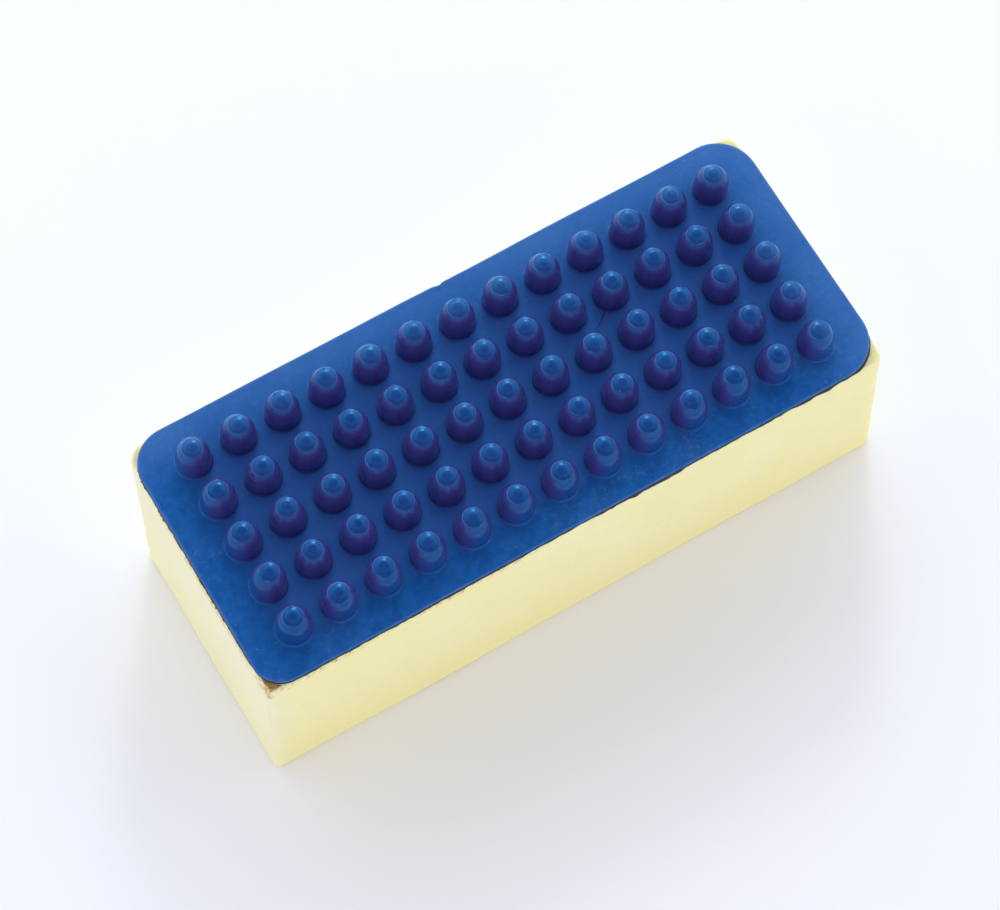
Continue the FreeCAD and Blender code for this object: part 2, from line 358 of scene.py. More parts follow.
def contact_adhesive():
    """Set contact adhesive: dark brown, with ochre where it is thin, more so on the left end."""
    n = Nodes(bpy.data.materials.new("contact_adhesive"))
    patches = n.noise(420, detail=3, roughness=0.6)
    at_left = n.band(n.axis("X"), FACING_LOW[0] + 1 * MM, FACING_LOW[0] + 3 * MM, 0.10, 0.0)
    thin = n.band(n.maths("ADD", patches, at_left), 0.54, 0.70)
    n.link(n.mix(thin, GLUE_BROWN, GLUE_OCHRE), n.shader.inputs["Base Color"])
    n.link(n.band(patches, 0.3, 0.7, 0.30, 0.55), n.shader.inputs["Roughness"])
    n.link(n.bump(n.noise(1500, detail=2), 0.5, 0.20 * MM), n.shader.inputs["Normal"])
    return n.owner


def thin_adhesive():
    """The same adhesive smeared thin over bare foam: ochre to brown."""
    n = Nodes(bpy.data.materials.new("thin_adhesive"))
    patches = n.noise(700, detail=3, roughness=0.65)
    colour = n.mix(n.band(patches, 0.40, 0.62), SMEAR_OCHRE, SMEAR_BROWN)
    n.link(colour, n.shader.inputs["Base Color"])
    n.link(n.band(patches, 0.3, 0.7, 0.45, 0.70), n.shader.inputs["Roughness"])
    n.link(n.bump(n.noise(1800, detail=2), 0.6, 0.20 * MM), n.shader.inputs["Normal"])
    return n.owner


def glue_stain(n):
    """How ochre the foam is: ragged blots under the glue line, at the left end and near side only."""
    end_face = n.band(n.axis("X"), FACING_LOW[0], FACING_LOW[0] + 2 * MM, 1.0, 0.0)
    height = n.maths("ADD", n.axis("Z"), n.product(end_face, 2.6 * MM))
    near_glue = n.band(height, FOAM_HIGH[2] - 2.2 * MM, FOAM_HIGH[2] - 0.9 * MM)
    blots = n.maths("ADD", n.noise(640, detail=5, roughness=0.75), n.product(end_face, 0.04))
    to_left = n.band(n.axis("X"), -30 * MM, 25 * MM, 1.0, 0.0)
    to_near = n.band(n.axis("Y"), 10 * MM, 24 * MM, 1.0, 0.0)
    return n.product(near_glue, n.band(blots, 0.50, 0.62), to_left, to_near)


def cream_foam():
    """Fine open-cell foam, pale cream yellow, with painted shade and yellow bounce light toward the foot
    and painted light paler at the left end.
    """
    n = Nodes(bpy.data.materials.new("cream_foam"))
    clouds = n.noise(45, detail=4, roughness=0.55)
    pores = n.cells(1900)
    grain = n.noise(1300, detail=3, roughness=0.65)
    colour = n.mix(n.band(clouds, 0.35, 0.68), *FOAM_CREAMS)
    # painted shade and yellow bounce light, stronger toward the foot
    low_down = n.band(n.axis("Z"), FOAM_LOW[2] + 2 * MM, FOAM_LOW[2] + 24 * MM, 0.65, 0.0)
    colour = n.mix(low_down, colour, FOAM_FOOT_PAINTED_SHADE)
    # painted light: paler at the left end, less so at the foot
    at_left = n.band(n.axis("X"), FOAM_LOW[0] + 0.4 * MM, FOAM_LOW[0] + 5 * MM, 0.8, 0.0)
    less_at_foot = n.band(n.axis("Z"), FOAM_LOW[2], FOAM_LOW[2] + 30 * MM, 0.5, 1.0)
    colour = n.mix(n.product(at_left, less_at_foot), colour, FOAM_PAINTED_LIGHT)
    colour = n.mix(n.band(pores, 0.05, 0.45, 0.18, 0.0), colour, FOAM_PORE)
    colour = n.mix(n.product(glue_stain(n), 0.85), colour, FOAM_STAIN)
    n.link(colour, n.shader.inputs["Base Color"])
    n.link(n.band(grain, 0.3, 0.7, 0.82, 0.98), n.shader.inputs["Roughness"])
    n.shader.inputs["Specular IOR Level"].default_value = 0.25
    n.shader.inputs["Subsurface Weight"].default_value = 0.35
    n.shader.inputs["Subsurface Radius"].default_value = (1.0, 0.9, 0.55)
    n.shader.inputs["Subsurface Scale"].default_value = 4 * MM
    normal = n.bump(pores, 0.30, 0.25 * MM)
    normal = n.bump(grain, 0.20, 0.20 * MM, under=normal)
    n.link(normal, n.shader.inputs["Normal"])
    return n.owner


def pale_floor():
    """A plain off-white table."""
    n = Nodes(bpy.data.materials.new("pale_floor"))
    n.link(n.mix(n.noise(3, detail=2), *FLOOR_WHITES), n.shader.inputs["Base Color"])
    n.shader.inputs["Roughness"].default_value = 0.85
    n.shader.inputs["Specular IOR Level"].default_value = 0.2
    return n.owner


# ---------------------------------------------------------------- rubber facing

def sheet_lift(x, y):
    """How far the sheet's top surface waves up or down."""
    slow = 0.07 * MM * smooth_noise(x, y, 0, 24 * MM, 3.1)
    fast = 0.02 * MM * smooth_noise(x, y, 0, 6 * MM, 8.7)
    return slow + fast


def nub_centre(column, row):
    """The middle of a nub's foot, about the middle of the grid."""
    return column * NUB_PITCH - LAST_COLUMN_X, row * NUB_PITCH - LAST_ROW_Y


def nub_profile():
    """Radius and height of each loop of a nub's wall, from its toe on the sheet up to the ring."""
    loops = []
    for step in range(ROOT_STEPS + 1):
        angle = math.radians(90 * step / ROOT_STEPS)
        radius = FOOT_RADIUS + ROOT_FILLET * (1 - math.sin(angle))
        loops.append((radius, ROOT_FILLET * (1 - math.cos(angle))))
    for step in range(1, WALL_STEPS + 1):
        share = math.sin(math.radians(88 * step / WALL_STEPS))
        drawn_in = 0.22 * share + 0.78 * share ** 5
        radius = FOOT_RADIUS - (FOOT_RADIUS - RING_RADIUS - SHOULDER) * drawn_in
        loops.append((radius, ROOT_FILLET + (RING_HEIGHT - SHOULDER - ROOT_FILLET) * share))
    return loops


def wall_marks(height, shut):
    """Painted shade and darker painted shade at a height on a nub's wall. shut is how far its neighbours
    shut it in.
    """
    low_down = 1 - min(1.0, max(0.0, (height - 3.4 * MM) / (3.2 * MM)))
    up_the_root = min(1.0, 0.25 + height / (0.5 * MM))
    # painted shade where neighbours shut the wall in; darker painted shade at the root and under the
    # shoulder
    painted_shade = up_the_root * shut * (0.94 + 0.06 * low_down)
    deep_shade_at_root = 0.20 * bell(height - 0.4 * MM, 0.5 * MM)
    deep_shade_at_shoulder = 0.12 * shut * bell(height - 6.4 * MM, 1.1 * MM)
    return painted_shade, deep_shade_at_root + deep_shade_at_shoulder


def crown_height(radius):
    """The low dome inside the ring, without its beads and pip."""
    dome = NUB_HEIGHT - PIP_ROOM - RING_HEIGHT
    return RING_HEIGHT + dome * (1 - (radius / RING_RADIUS) ** 2.7)


def crown_loops(mould):
    """Radius, then height and painted highlight at each angle, of each loop from the ring to near the
    middle.
    """
    size = RING_RADIUS * mould.ring_size
    inner = size * mould.inner_size
    radii = [size + 0.12 * MM, size + 0.06 * MM, size, size - 0.06 * MM, size - 0.13 * MM]
    radii += [size * 0.80, size * 0.68, inner + 0.12 * MM, inner, inner - 0.12 * MM]
    radii += [size * 0.27, size * 0.12]
    for radius in radii:
        dome = crown_height(min(radius, RING_RADIUS * 1.03))
        dome += mould.inner_rise * bell(radius - inner, 0.13 * MM)
        dome += mould.pip_rise * bell(radius, 0.42 * MM)
        on_ring = bell(radius - size, 0.08 * MM)
        on_inner = bell(radius - inner, 0.10 * MM)
        ridges = []
        for angle in NUB_ANGLES:
            bead = mould.ring(angle)
            # painted highlight: the ring bead is lighter, most on its far half where the light from
            # behind catches it, and the inner ring a little
            lit_and_worn = 0.58 + 0.42 * math.sin(angle)
            highlight_and_wear = on_ring * lit_and_worn * min(1.0, bead / (0.12 * MM)) + 0.12 * on_inner
            ridges.append((dome + bead * on_ring, highlight_and_wear))
        yield radius, ridges


class NubMould:
    """One nub's own irregularities: no two cavities of a mould are the same."""

    def __init__(self, chance):
        self.lean = (chance.gauss(0, 0.12) * MM, chance.gauss(0, 0.12) * MM)
        self.tall = 1 - abs(chance.gauss(0, 0.008))
        self.ring_shift = (chance.gauss(0, 0.06) * MM, chance.gauss(0, 0.06) * MM)
        self.ring_size = chance.uniform(0.95, 1.02)
        self.ring_rise = chance.uniform(0.05, 0.11) * MM
        self.inner_size = chance.uniform(0.46, 0.56)
        self.inner_rise = chance.uniform(0.0, 0.03) * MM
        self.pip_rise = chance.uniform(-0.02, 0.03) * MM
        self.nicks = [self.nick(chance) for _ in range(chance.randint(1, 4))]
        self.seed = chance.uniform(0, 50)

    def nick(self, chance):
        """A nick or a bit of torn flash: its angle on the ring, its spread and how far it stands up."""
        return chance.uniform(0, math.tau), chance.uniform(0.08, 0.22), chance.uniform(-0.06, 0.16) * MM

    def ring(self, angle):
        """Height of the raised ring at an angle, nicks and torn flash included."""
        rough = noise.noise(Vector((3 * math.cos(angle), 3 * math.sin(angle), self.seed)))
        rise = self.ring_rise * (1 + 0.5 * rough)
        for at, spread, extra in self.nicks:
            rise += extra * bell(math.remainder(angle - at, math.tau), spread)
        return rise

    def place(self, radius, height, angle, on_crown):
        """A point of the leaning nub, from the middle of its foot. on_crown is 0 on the wall."""
        lean = (height / NUB_HEIGHT) ** 1.3
        x = radius * math.cos(angle) + self.lean[0] * lean + self.ring_shift[0] * on_crown
        y = radius * math.sin(angle) + self.lean[1] * lean + self.ring_shift[1] * on_crown
        return x, y, height * self.tall


def crowding(column, row, angle):
    """How far neighbours shut a nub's wall in at an angle: 1 facing a nub, 0 on the outside."""
    most = 0.0
    for across in (-1, 0, 1):
        for deep in (-1, 0, 1):
            beside = 0 <= column + across < NUB_COLUMNS and 0 <= row + deep < NUB_ROWS
            if beside and (across or deep):
                turn = math.cos(angle - math.atan2(deep, across))
                most = max(most, max(0.0, turn) ** 1.5)
    return most


def outline_point(x, y, inset):
    """The point on the sheet's rounded outline that answers to a point of the grid's outer rectangle.

    The last stretch of the rectangle before each corner, TURN long, answers to half of the corner's arc.
    """
    half_x, half_y = FACING_LENGTH / 2, FACING_WIDTH / 2
    radius = SHEET_CORNERS[1 if x > 0 else -1, 1 if y > 0 else -1]
    grid_x, grid_y = NUB_COLUMNS * NUB_PITCH / 2, NUB_ROWS * NUB_PITCH / 2
    on_long_side = abs(y) > grid_y - 0.01 * MM
    along, grid_half, half = (abs(x), grid_x, half_x) if on_long_side else (abs(y), grid_y, half_y)
    to_turn = grid_half - TURN
    if along <= to_turn:
        straight = along / to_turn * (half - radius)
        px, py = (straight, half_y - inset) if on_long_side else (half_x - inset, straight)
    else:
        angle = math.radians(45 * (along - to_turn) / TURN)
        if on_long_side:
            angle = math.pi / 2 - angle
        px = half_x - radius + (radius - inset) * math.cos(angle)
        py = half_y - radius + (radius - inset) * math.sin(angle)
    return math.copysign(px, x) + FACING_X - GRID_X, math.copysign(py, y) + FACING_Y - GRID_Y


def outward(x, y):
    """Unit vector that points out of the outline."""
    far_x, far_y = outline_point(x, y, 0)
    near_x, near_y = outline_point(x, y, ROUND_EDGE)
    return Vector((far_x - near_x, far_y - near_y)).normalized()


def edge_waver(x, y):
    """How far the sheet's cut edge stands out from its outline: it wanders, and has a nick."""
    waver = 0.10 * MM * smooth_noise(x, y, 0, 22 * MM, 5.3)
    waver += 0.03 * MM * smooth_noise(x, y, 0, 5 * MM, 1.9)
    if y > FACING_WIDTH / 2 - 2 * MM:
        waver -= 0.35 * MM * bell(x - 1 * MM, 0.7 * MM)
    return waver


def rim_highlight_and_wear(x, y):
    """How strong the painted highlight and the patchy wear on the sheet's rim are at a place, from 0 to
    1.
    """
    patchy = 0.65 + 0.6 * smooth_noise(x, y, 0, 9 * MM, 4.9)
    patchy += 0.35 * smooth_noise(x, y, 0, 1.5 * MM, 7.1)
    return min(1.0, max(0.0, patchy))


class Facing:
    """Builds the sheet and its nubs as one closed mesh, in coordinates about the middle of the nub grid.

    Each vertex carries three marks for the material: painted highlights with some wear on ridges, painted
    shade on walls and sheet between the nubs, and darker painted shade on the sheet's cut side and,
    faintly, on the nubs' roots and shoulders.
    """

    def __init__(self):
        self.vertices = []
        self.faces = []
        self.highlight_and_wear = []
        self.painted_shade = []
        self.painted_deep_shade = []
        self.border = {}

    def vertex(self, x, y, z, highlight_and_wear=0.0, painted_shade=0.0, painted_deep_shade=0.0):
        self.vertices.append((GRID_X + x, GRID_Y + y, z))
        self.highlight_and_wear.append(highlight_and_wear)
        self.painted_shade.append(painted_shade)
        self.painted_deep_shade.append(painted_deep_shade)
        return len(self.vertices) - 1

    def sheet_vertex(self, x, y, rise=0.0, highlight_and_wear=0.0, painted_shade=0.0, painted_deep_shade=0.0):
        """A vertex on the sheet's wavy top, or that far above it."""
        return self.vertex(x, y, SHEET_TOP + sheet_lift(x, y) + rise, highlight_and_wear, painted_shade, painted_deep_shade)

    def border_vertex(self, step_x, step_y):
        """A vertex on the border between two cells of the grid, shared by both."""
        key = (step_x, step_y)
        if key not in self.border:
            step = NUB_PITCH / CELL_STEPS
            x = step_x * step - NUB_COLUMNS * NUB_PITCH / 2
            y = step_y * step - NUB_ROWS * NUB_PITCH / 2
            self.border[key] = self.sheet_vertex(x, y)
        return self.border[key]

    def join(self, outer, inner):
        """Quads between two closed loops of the same length, the outer one first."""
        count = len(outer)
        for k in range(count):
            after = (k + 1) % count
            self.faces.append((outer[k], outer[after], inner[after], inner[k]))

    def cell(self, column, row, mould):
        """The square of sheet round one nub, and the nub."""
        left, low = column * CELL_STEPS, row * CELL_STEPS
        right, high = left + CELL_STEPS, low + CELL_STEPS
        loop = [self.border_vertex(right, low + k) for k in range(CELL_STEPS)]
        loop += [self.border_vertex(right - k, high) for k in range(CELL_STEPS)]
        loop += [self.border_vertex(left, high - k) for k in range(CELL_STEPS)]
        loop += [self.border_vertex(left + k, low) for k in range(CELL_STEPS)]
        centre = nub_centre(column, row)
        shut_in = [crowding(column, row, angle) for angle in NUB_ANGLES]
        loop = self.sheet_loops(loop, centre, shut_in)

        for radius, height in nub_profile():
            points = []
            for angle, shut in zip(NUB_ANGLES, shut_in):
                painted_shade, painted_deep_shade = wall_marks(height, shut)
                points.append((*mould.place(radius, height, angle, 0.0), 0.0, painted_shade, painted_deep_shade))
            loop = self.nub_loop(loop, centre, points)
        for radius, ridges in crown_loops(mould):
            points = []
            for angle, shut, (height, highlight_and_wear) in zip(NUB_ANGLES, shut_in, ridges):
                # painted shade on the crown's shut-in side, growing toward the ring
                painted_shade = 0.28 * shut * radius / RING_RADIUS
                points.append((*mould.place(radius, height, angle, 1.0), highlight_and_wear, painted_shade, 0.0))
            loop = self.nub_loop(loop, centre, points)

        x, y, z = mould.place(0, crown_height(0) + mould.pip_rise, 0, 1.0)
        middle = self.sheet_vertex(centre[0] + x, centre[1] + y, z)
        for k in range(AROUND):
            self.faces.append((loop[k], loop[(k + 1) % AROUND], middle))

    def sheet_loops(self, loop, centre, shut_in):
        """Loops on the sheet between a cell's square border and the toe of its nub."""
        toe = nub_profile()[0][0]
        border = [self.vertices[index] for index in loop]
        for share in (0.4, 0.8):
            ring = []
            for (border_x, border_y, _), angle, shut in zip(border, NUB_ANGLES, shut_in):
                toe_x, toe_y = centre[0] + toe * math.cos(angle), centre[1] + toe * math.sin(angle)
                x = (border_x - GRID_X) * (1 - share) + toe_x * share
                y = (border_y - GRID_Y) * (1 - share) + toe_y * share
                # painted shade on the sheet near the toe, where neighbours shut it in
                ring.append(self.sheet_vertex(x, y, painted_shade=0.25 * shut * share ** 4))
            self.join(loop, ring)
            loop = ring
        return loop

    def nub_loop(self, loop, centre, points):
        """One loop of a nub. A point is x, y, z from the middle of the foot, then painted highlight,
        painted shade and darker painted shade.
        """
        ring = []
        for x, y, z, highlight_and_wear, painted_shade, painted_deep_shade in points:
            ring.append(self.sheet_vertex(centre[0] + x, centre[1] + y, z, highlight_and_wear, painted_shade, painted_deep_shade))
        self.join(loop, ring)
        return ring

    def rim(self):
        """The margin outside the grid, the sheet's rounded edge, its side and its underside."""
        across, deep = NUB_COLUMNS * CELL_STEPS, NUB_ROWS * CELL_STEPS
        loop = [self.border_vertex(across, k) for k in range(deep)]
        loop += [self.border_vertex(across - k, deep) for k in range(across)]
        loop += [self.border_vertex(0, deep - k) for k in range(deep)]
        loop += [self.border_vertex(k, 0) for k in range(across)]
        places = [(self.vertices[i][0] - GRID_X, self.vertices[i][1] - GRID_Y) for i in loop]

        for share in (0.25, 0.5, 0.75, 0.92):
            ring = []
            for x, y in places:
                far_x, far_y = outline_point(x, y, ROUND_EDGE)
                ring.append(self.sheet_vertex(x + (far_x - x) * share, y + (far_y - y) * share))
            self.join(ring, loop)
            loop = ring
        # painted highlight with patchy wear along the rounded top edge; darker painted shade on the
        # edge's outer loop and the cut side
        for angle, highlight_and_wear in ((90, 0.6), (60, 1.2), (30, 0.5), (0, 0.0)):
            out = math.cos(math.radians(angle)) * ROUND_EDGE
            down = (1 - math.sin(math.radians(angle))) * ROUND_EDGE
            loop = self.rim_loop(loop, places, out, down, highlight_and_wear=highlight_and_wear, painted_deep_shade=0.0 if highlight_and_wear else 0.9)
        side = ROUND_EDGE + 0.02 * MM
        for out, depth in ((side, 0.45), (side, 0.8), (side - 0.05 * MM, 1.0), (-2.0 * MM, 1.0)):
            loop = self.rim_loop(loop, places, out, depth * SHEET_THICKNESS, painted_deep_shade=1.0)
        self.faces.append(tuple(reversed(loop)))

    def rim_loop(self, loop, places, out, down, highlight_and_wear=0.0, painted_deep_shade=0.0):
        """A loop that follows the outline. out is how far outside the inset line it runs."""
        ring = []
        for x, y in places:
            base_x, base_y = outline_point(x, y, ROUND_EDGE)
            away = outward(x, y) * (out + edge_waver(base_x, base_y))
            px, py = base_x + away.x, base_y + away.y
            z = SHEET_TOP + sheet_lift(px, py) * (1 - down / SHEET_THICKNESS) - down
            ring.append(self.vertex(px, py, z, highlight_and_wear=highlight_and_wear * rim_highlight_and_wear(px, py), painted_deep_shade=painted_deep_shade))
        self.join(ring, loop)
        return ring


def make_facing(material):
    """The rubber facing as one moulding, nub by nub from the near left."""
    facing = Facing()
    chance = random.Random(65)
    for row in range(NUB_ROWS):
        for column in range(NUB_COLUMNS):
            facing.cell(column, row, NubMould(chance))
    facing.rim()
    marks = {"highlight_and_wear": facing.highlight_and_wear, "painted_shade": facing.painted_shade, "painted_deep_shade": facing.painted_deep_shade}
    piece = new_piece("rubber_facing_moulding", facing.vertices, facing.faces, material,
                      marks)
    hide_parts("rubber_facing")


def make_flash_line(material):
    """A tapered rib of stray rubber that runs from the foot of one nub across the sheet."""
    start = Vector(nub_centre(column=9, row=3)) + Vector((GRID_X, GRID_Y))
    run = Vector((-0.777, -0.629))
    across = Vector((-run.y, run.x))
    from_axis, length, bow = 3.5 * MM, 4.6 * MM, 0.25 * MM
    steps, sides = 16, 6
    vertices, faces = [], []
    for step in range(steps + 1):
        share = step / steps
        place = start + run * (from_axis + length * share) + across * bow * math.sin(3 * share)
        radius = (0.24 * (1 - share) ** 0.7 + 0.02) * MM
        top = SHEET_TOP + sheet_lift(place.x - GRID_X, place.y - GRID_Y)
        for side in range(sides):
            angle = math.tau * side / sides
            point = place + across * radius * math.cos(angle)
            vertices.append((point.x, point.y, top + radius * math.sin(angle) * 0.8))
    for step in range(steps):
        here, there = step * sides, (step + 1) * sides
        for side in range(sides):
            after = (side + 1) % sides
            faces.append((here + side, here + after, there + after, there + side))
    faces.append(tuple(reversed(range(sides))))
    faces.append(tuple(range(steps * sides, (steps + 1) * sides)))
    # painted shade: the whole rib is darkened to stand in for its shadow
    marks = {"painted_shade": [1.0] * len(vertices)}
    new_piece("rubber_facing_flash_line", vertices, faces, material, marks)


# ---------------------------------------------------------------- foam block

def stations(length):
    """Places from 0 to length: close together near both ends, wider apart between."""
    edge = [FOAM_FINE_STEP * k for k in range(FOAM_EDGE_STEPS)]
    between = length - 2 * edge[-1]
    count = max(2, round(between / FOAM_COARSE_STEP))
    inner = [edge[-1] + between * k / count for k in range(1, count)]
    return edge + inner + [length - e for e in reversed(edge)]


def foam_point(along, across, up):
    """A point of the block. Each value runs from 0 to 1; across is 0 on the near side."""
    height = FOAM_HIGH[2] - FOAM_LOW[2]
    foot_x = FOAM_LOW[0] + (FOAM_HIGH[0] - FOAM_LOW[0]) * along
    foot_y = FOAM_LOW[1] + FOAM_FOOT_WIDTH * across
    top_x = FACING_LOW[0] + FACING_LENGTH * along
    top_y = FACING_LOW[1] + FACING_WIDTH * across
    x = foot_x + (top_x - foot_x) * up
    y = foot_y + (top_y - foot_y) * up
    return Vector((x, y, FOAM_LOW[2] + height * up))


def plan_place(x, y, size):
    """Rounds the upright edges: a point's new place, the way out of the outline, and its depth inside."""
    right = 1 if x > size[0] / 2 else -1
    far = 1 if y > size[1] / 2 else -1
    radius = FOAM_CORNERS[right, far]
    inner_x, inner_y = size[0] / 2 - radius, size[1] / 2 - radius
    away_x, away_y = abs(x - size[0] / 2) - inner_x, abs(y - size[1] / 2) - inner_y
    reach = max(away_x, away_y)
    if min(away_x, away_y) > 0:
        out = Vector((away_x, away_y)).normalized()
        away_x, away_y = out * reach
    else:
        out = Vector((1, 0)) if away_x > away_y else Vector((0, 1))
    place = Vector((size[0] / 2 + right * (inner_x + away_x), size[1] / 2 + far * (inner_y + away_y)))
    return place, Vector((right * out.x, far * out.y)), radius - reach


def foam_roughness(point):
    """How far the cut surface stands out: slow waves, the knife's level lines, and crumbs."""
    waves = 0.28 * MM * smooth_noise(*point, 26 * MM, 4.4)
    blade = 0.10 * MM * smooth_noise(point.x * 0.12, point.y * 0.12, point.z, 3.5 * MM, 9.2)
    crumbs = 0.06 * MM * smooth_noise(*point, 1.3 * MM, 2.6)
    return waves + blade + crumbs


def foam_vertex(x, y, z, size):
    """One vertex of the block, rounded at the edges and roughened a little, but flat underneath."""
    radius = FOAM_EDGE_RADIUS
    place, out, depth = plan_place(x, y, size)
    up = 1 if z > size[2] / 2 else -1
    below = min(z, size[2] - z)
    if depth < radius and below < radius:
        outward_share, upward_share = Vector((radius - depth, radius - below)).normalized()
        place -= out * (radius * (1 - outward_share) - depth)
        z -= up * (radius * (1 - upward_share) - below)
    else:
        outward_share, upward_share = (1.0, 0.0) if depth < below else (0.0, 1.0)
    point = foam_point(place.x / size[0], place.y / size[1], z / size[2])
    if up < 0 and upward_share > 0.6:
        return point
    direction = Vector((out.x * outward_share, out.y * outward_share, up * upward_share))
    return point + direction * foam_roughness(point)


def make_foam(material):
    """The cut block as one closed mesh of quads."""
    size = (FACING_LENGTH, FACING_WIDTH, FOAM_HIGH[2] - FOAM_LOW[2])
    lines = [stations(length) for length in size]
    nx, ny, nz = (len(line) - 1 for line in lines)
    vertices, faces, known = [], [], {}

    def vertex(i, j, k):
        if (i, j, k) not in known:
            known[i, j, k] = len(vertices)
            vertices.append(foam_vertex(lines[0][i], lines[1][j], lines[2][k], size))
        return known[i, j, k]

    def quad(*corners):
        faces.append(tuple(vertex(*corner) for corner in corners))

    for i in range(nx):
        for j in range(ny):
            quad((i, j, 0), (i, j + 1, 0), (i + 1, j + 1, 0), (i + 1, j, 0))
            quad((i, j, nz), (i + 1, j, nz), (i + 1, j + 1, nz), (i, j + 1, nz))
    for i in range(nx):
        for k in range(nz):
            quad((i, 0, k), (i + 1, 0, k), (i + 1, 0, k + 1), (i, 0, k + 1))
            quad((i, ny, k), (i, ny, k + 1), (i + 1, ny, k + 1), (i + 1, ny, k))
    for j in range(ny):
        for k in range(nz):
            quad((0, j, k), (0, j, k + 1), (0, j + 1, k + 1), (0, j + 1, k))
            quad((nx, j, k), (nx, j + 1, k), (nx, j + 1, k + 1), (nx, j, k + 1))
    piece = new_piece("foam_block_cut", vertices, faces, material)
    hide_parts("foam_block")


# ---------------------------------------------------------------- adhesive

def squeeze(x, y):
    """How far the glue stands out of the joint: mostly hidden, with lumps on the near edge.

    It shows all along the left end, as a finer ragged line.
    """
    hidden = 0.03 * MM
    out = hidden + 0.10 * MM * smooth_noise(x, y, 0, 7 * MM, 6.6)
    out += 0.12 * MM * smooth_noise(x, y, 0, 1.3 * MM, 2.2)
    if y < 0:
        out += 0.26 * MM * bell(x - 19 * MM, 4 * MM) + 0.30 * MM * bell(x - 12 * MM, 1.4 * MM)
        out += 0.20 * MM * bell(x - 52 * MM, 1.8 * MM) + 0.18 * MM * bell(x - 57 * MM, 1.2 * MM)
    if x < -FACING_LENGTH / 2 + 3 * MM:
        fuzz = max(0.0, smooth_noise(x, y, 0, 0.5 * MM, 7.7))
        out = 0.12 * MM + 0.5 * (out - hidden) + 0.28 * MM * fuzz
    return out


def make_film(material):
    """The glue between foam and rubber: a closed thin sheet whose edge wanders in and out."""
    count = 1600
    half_x, half_y = FACING_LENGTH / 2, FACING_WIDTH / 2
    turn_x, turn_y = half_x - CORNER_RADIUS, half_y - CORNER_RADIUS
    arc = CORNER_RADIUS * math.pi / 2
    # each side: its length, start, direction, way out, then its corner's centre and first angle
    sides = [(2 * turn_y, (half_x, -turn_y), (0, 1), (1, 0), (turn_x, turn_y), 0),
             (2 * turn_x, (turn_x, half_y), (-1, 0), (0, 1), (-turn_x, turn_y), 90),
             (2 * turn_y, (-half_x, turn_y), (0, -1), (-1, 0), (-turn_x, -turn_y), 180),
             (2 * turn_x, (-turn_x, -half_y), (1, 0), (0, -1), (turn_x, -turn_y), 270)]
    total = sum(side[0] + arc for side in sides)

    def outline(distance):
        """Place and outward direction at a distance round the outline, anticlockwise from the right."""
        for length, start, run, away, turn, first in sides:
            if distance < length:
                return (start[0] + run[0] * distance, start[1] + run[1] * distance), away
            distance -= length
            if distance < arc:
                angle = math.radians(first) + distance / CORNER_RADIUS
                away = (math.cos(angle), math.sin(angle))
                return (turn[0] + CORNER_RADIUS * away[0], turn[1] + CORNER_RADIUS * away[1]), away
            distance -= arc
        return sides[0][1], sides[0][3]

    thickness = FILM_HIGH[2] - FILM_LOW[2]
    # each loop: how far out it lies, its height, and its share of the squeezed-out lumps
    section = [(-2.5 * MM, thickness, 0.0), (-0.3 * MM, thickness, 0.4), (0.0, 0.8 * thickness, 1.0),
               (0.02 * MM, 0.3 * thickness, 1.0), (-0.05 * MM, -0.10 * MM, 0.9), (-0.3 * MM, 0.0, 0.4),
               (-2.5 * MM, 0.0, 0.0)]
    vertices, faces, rings = [], [], []
    for offset, rise, share in section:
        ring = []
        for k in range(count):
            (x, y), away = outline(total * k / count)
            out = offset + squeeze(x, y) * share
            droop = max(0.0, squeeze(x, y)) * share * 0.8
            ring.append(len(vertices))
            place_x, place_y = FACING_X + x + away[0] * out, FACING_Y + y + away[1] * out
            vertices.append((place_x, place_y, FILM_LOW[2] + rise - droop))
        rings.append(ring)
    for outer, inner in zip(rings[1:], rings[:-1]):
        for k in range(count):
            after = (k + 1) % count
            faces.append((outer[k], outer[after], inner[after], inner[k]))
    faces.append(tuple(rings[0]))
    faces.append(tuple(reversed(rings[-1])))
    piece = new_piece("adhesive_film_squeezed", vertices, faces, material)
    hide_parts("adhesive_film")


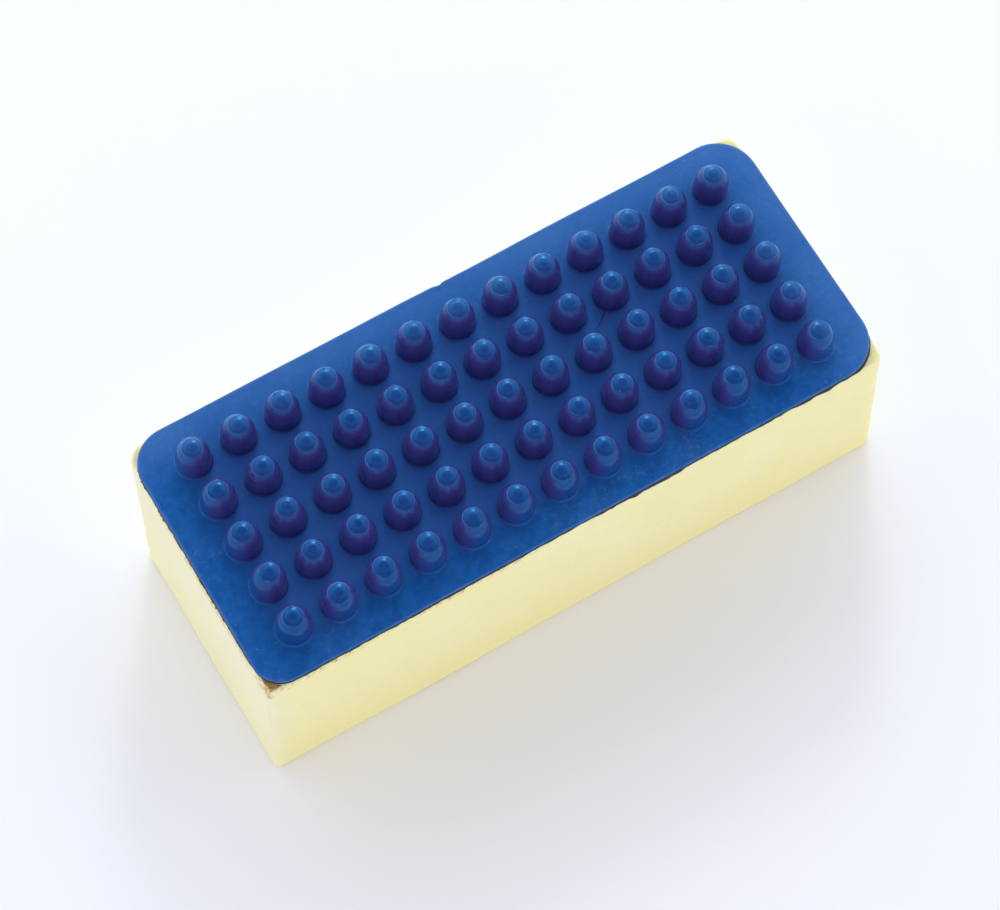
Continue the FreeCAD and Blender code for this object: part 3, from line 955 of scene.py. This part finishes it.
def make_corner_smear(material):
    """Glue brushed past the sheet's round corner, over the foam's bare corner nearest the viewer."""
    steps = 22
    inset, reach_x, reach_y = 0.5 * MM, 2.691 * MM, 3.45 * MM
    thickness, sunk, rim_height = 0.12 * MM, 0.25 * MM, 0.02 * MM
    vertices, faces, grid = [], [], {}
    for side in (0, 1):
        for i in range(steps + 1):
            for j in range(steps + 1 - i):
                u, v = i / steps, j / steps
                x = FACING_LOW[0] + inset + reach_x * u
                y = FACING_LOW[1] + inset + reach_y * v
                sag = 0.35 * MM * max(0.0, 1 - 3 * (u + v))
                ragged = 0.25 * MM * smooth_noise(x, y, 0, 1.1 * MM, 3.3)
                if side == 1:
                    height = -sunk
                elif i == 0 or j == 0 or i + j == steps:
                    height = rim_height
                else:
                    height = thickness + 0.05 * MM * smooth_noise(x, y, 0, 0.9 * MM, 5.9)
                grid[side, i, j] = len(vertices)
                vertices.append((x + ragged, y + ragged, FOAM_HIGH[2] + height - sag))
    for i in range(steps):
        for j in range(steps - i):
            a, b, c = grid[0, i, j], grid[0, i + 1, j], grid[0, i, j + 1]
            faces.append((a, b, c))
            d, e, f = grid[1, i, j], grid[1, i + 1, j], grid[1, i, j + 1]
            faces.append((d, f, e))
            if i + j < steps - 1:
                faces.append((b, grid[0, i + 1, j + 1], c))
                faces.append((e, f, grid[1, i + 1, j + 1]))
    border = [(i, 0) for i in range(steps)]
    border += [(steps - k, k) for k in range(steps)]
    border += [(0, steps - k) for k in range(steps)]
    for (i, j), (m, n) in zip(border, border[1:] + border[:1]):
        faces.append((grid[0, i, j], grid[1, i, j], grid[1, m, n], grid[0, m, n]))
    new_piece("adhesive_corner_smear", vertices, faces, material)


# ---------------------------------------------------------------- stage, light and camera

def make_floor(material):
    """A flat square under the block."""
    reach = 3.0
    corners = [(-reach, -reach, 0), (reach, -reach, 0), (reach, reach, 0), (-reach, reach, 0)]
    mesh = bpy.data.meshes.new("floor")
    mesh.from_pydata(corners, [], [(0, 1, 2, 3)])
    mesh.materials.append(material)
    floor = bpy.data.objects.new("floor", mesh)
    bpy.context.scene.collection.objects.link(floor)


def from_direction(azimuth, elevation, distance):
    """The place at a compass angle (0 is +Y, 90 is +X) and a height angle, both in degrees."""
    a, e = math.radians(azimuth), math.radians(elevation)
    return Vector((math.sin(a) * math.cos(e), math.cos(a) * math.cos(e), math.sin(e))) * distance


def add_softbox(name, azimuth, elevation, distance, size, power):
    """A round soft lamp that faces the object."""
    lamp = bpy.data.lights.new(name, "AREA")
    lamp.shape = "DISK"
    lamp.size = size
    lamp.energy = power
    lamp_object = bpy.data.objects.new(name, lamp)
    bpy.context.scene.collection.objects.link(lamp_object)
    place = from_direction(azimuth, elevation, distance)
    lamp_object.location = place
    lamp_object.rotation_euler = (-place).to_track_quat("-Z", "Y").to_euler()


def light_studio():
    """A white tent: brightest behind the object, cooler there, and open to a dark ceiling above."""
    add_softbox("lamp_behind", LAMP_AZIMUTH, LAMP_ELEVATION, distance=1.5, size=0.28, power=2.8)
    n = Nodes(bpy.data.worlds.new("studio"), shader="Background", coordinates="Generated")
    bpy.context.scene.world = n.owner
    height = n.axis("Z")
    toward_back = n.toward(from_direction(BACK_AZIMUTH, 0, 1))
    toward_front = n.maths("MAXIMUM", n.product(toward_back, -1.0), 0.0)
    low_down = n.maths("POWER", n.maths("SUBTRACT", 1.0, n.maths("MAXIMUM", height, 0.0)), 3.0)
    lobe = n.maths("POWER", n.maths("MAXIMUM", toward_back, 0.0), 3.0)
    light = n.maths("ADD", WALL_LIGHT, n.product(low_down, LOW_WALL_LIGHT))
    light = n.maths("ADD", light, n.product(lobe, BACK_LIGHT))
    raised = n.maths("MULTIPLY_ADD", toward_front, OPENING_LEAN, height)
    opening = n.band(raised, OPENING_STARTS, OPENING_IS_FULL, 1.0, OPENING_LIGHT, "SMOOTHSTEP")
    n.link(n.mix(lobe, FRONT_TINT, BACK_TINT), n.shader.inputs["Color"])
    n.link(n.product(light, opening), n.shader.inputs["Strength"])


def add_camera():
    """Looks down on the nubs from the near left, as in the photograph."""
    camera = bpy.data.cameras.new("camera")
    camera.sensor_width = 36
    camera.lens = CAMERA_LENS
    camera.clip_start = 0.01
    camera_object = bpy.data.objects.new("camera", camera)
    bpy.context.scene.collection.objects.link(camera_object)
    place = from_direction(CAMERA_AZIMUTH + 180, CAMERA_ELEVATION, CAMERA_DISTANCE)
    camera_object.location = CAMERA_TARGET + place
    turn = (-place).to_track_quat("-Z", "Y").to_matrix().to_4x4()
    turn = turn @ Matrix.Rotation(math.radians(CAMERA_ROLL), 4, "Z")
    camera_object.rotation_euler = turn.to_euler()
    bpy.context.scene.camera = camera_object
    bpy.context.scene.view_settings.view_transform = "Standard"


rubber = blue_rubber()
make_foam(cream_foam())
make_film(contact_adhesive())
make_corner_smear(thin_adhesive())
make_facing(rubber)
make_flash_line(rubber)
make_floor(pale_floor())
light_studio()
add_camera()
